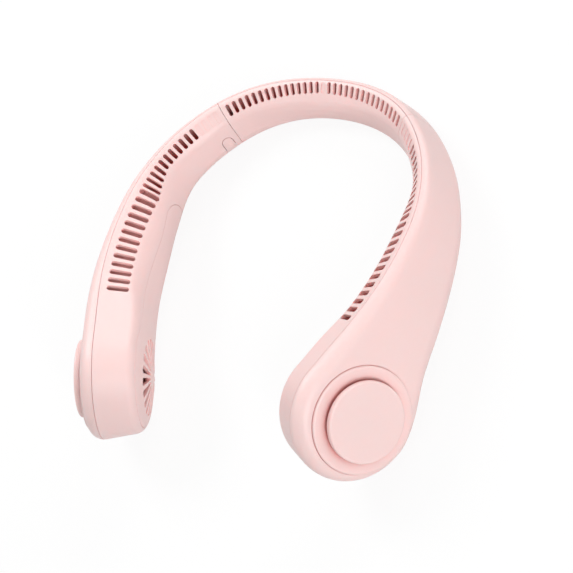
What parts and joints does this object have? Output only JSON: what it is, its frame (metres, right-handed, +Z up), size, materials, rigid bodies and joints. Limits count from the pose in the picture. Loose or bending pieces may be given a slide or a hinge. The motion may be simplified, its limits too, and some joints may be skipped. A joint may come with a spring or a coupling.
{
  "type": "electric neck fan",
  "caption": "U-shaped electric neck fan: slotted collar with a round blower head at each end, raised intake caps outside, radial intake grilles inside and a push key on one arm.",
  "frame": {"origin": "centre of the bounding box's base, on the table that both heads and the back rest on", "axes": "+X to the wearer's left, +Y to the back of the neck, +Z up"},
  "size_m": [0.2044, 0.2107, 0.0664],
  "materials": {
    "shell_plastic": "satin",
    "inner_plastic": "satin",
    "wheel_plastic": "satin",
    "motor_steel": "satin",
    "magnet": "matte",
    "steel": "polished",
    "bearing_bronze": "matte",
    "cell_sleeve": "satin",
    "board_laminate": "matte",
    "switch_plastic": "matte",
    "socket_steel": "polished",
    "loom_sheath": "matte"
  },
  "bodies": {
    "housing": {"back_slotted_shell": "shell_plastic", "back_outer_cover": "shell_plastic", "left_arm_frame": "shell_plastic", "right_arm_frame": "shell_plastic", "left_outer_cover": "shell_plastic", "right_outer_cover": "shell_plastic", "left_inner_cover": "shell_plastic", "right_inner_cover": "shell_plastic", "left_intake_bezel": "shell_plastic", "right_intake_bezel": "shell_plastic", "left_intake_cap": "shell_plastic", "right_intake_cap": "shell_plastic", "left_fan_scroll": "inner_plastic", "right_fan_scroll": "inner_plastic", "left_motor_mount": "inner_plastic", "right_motor_mount": "inner_plastic", "left_duct_floor": "inner_plastic", "right_duct_floor": "inner_plastic", "left_seam_collar": "inner_plastic", "right_seam_collar": "inner_plastic", "left_motor_stator": "motor_steel", "right_motor_stator": "motor_steel", "motor_screws": "steel", "left_motor_bearing": "bearing_bronze", "right_motor_bearing": "bearing_bronze", "left_battery_cell": "cell_sleeve", "right_battery_cell": "cell_sleeve", "control_board": "board_laminate", "tact_switch": "switch_plastic", "charge_socket": "socket_steel", "wire_loom": "loom_sheath"},
    "left_fan": {"left_impeller": "wheel_plastic", "left_rotor_magnet": "magnet", "left_motor_shaft": "steel"},
    "right_fan": {"right_impeller": "wheel_plastic", "right_rotor_magnet": "magnet", "right_motor_shaft": "steel"},
    "button": {"power_button": "shell_plastic"}
  },
  "joints": [
    {"name": "left_fan_spin", "type": "hinge", "parent": "housing", "child": "left_fan", "pos_m": [0.07859, -0.0736, 0.03297], "axis": [0.8726, -0.2466, 0.4216], "continuous": true},
    {"name": "right_fan_spin", "type": "hinge", "parent": "housing", "child": "right_fan", "pos_m": [-0.07859, -0.0736, 0.03297], "axis": [-0.8726, -0.2466, 0.4216], "continuous": true},
    {"name": "power_button_press", "type": "slide", "parent": "housing", "child": "button", "axis": [-0.7873, 0.5971, -0.1534], "range_m": [0, 0.0006], "stiffness_N_per_m": 2000}
  ]
}
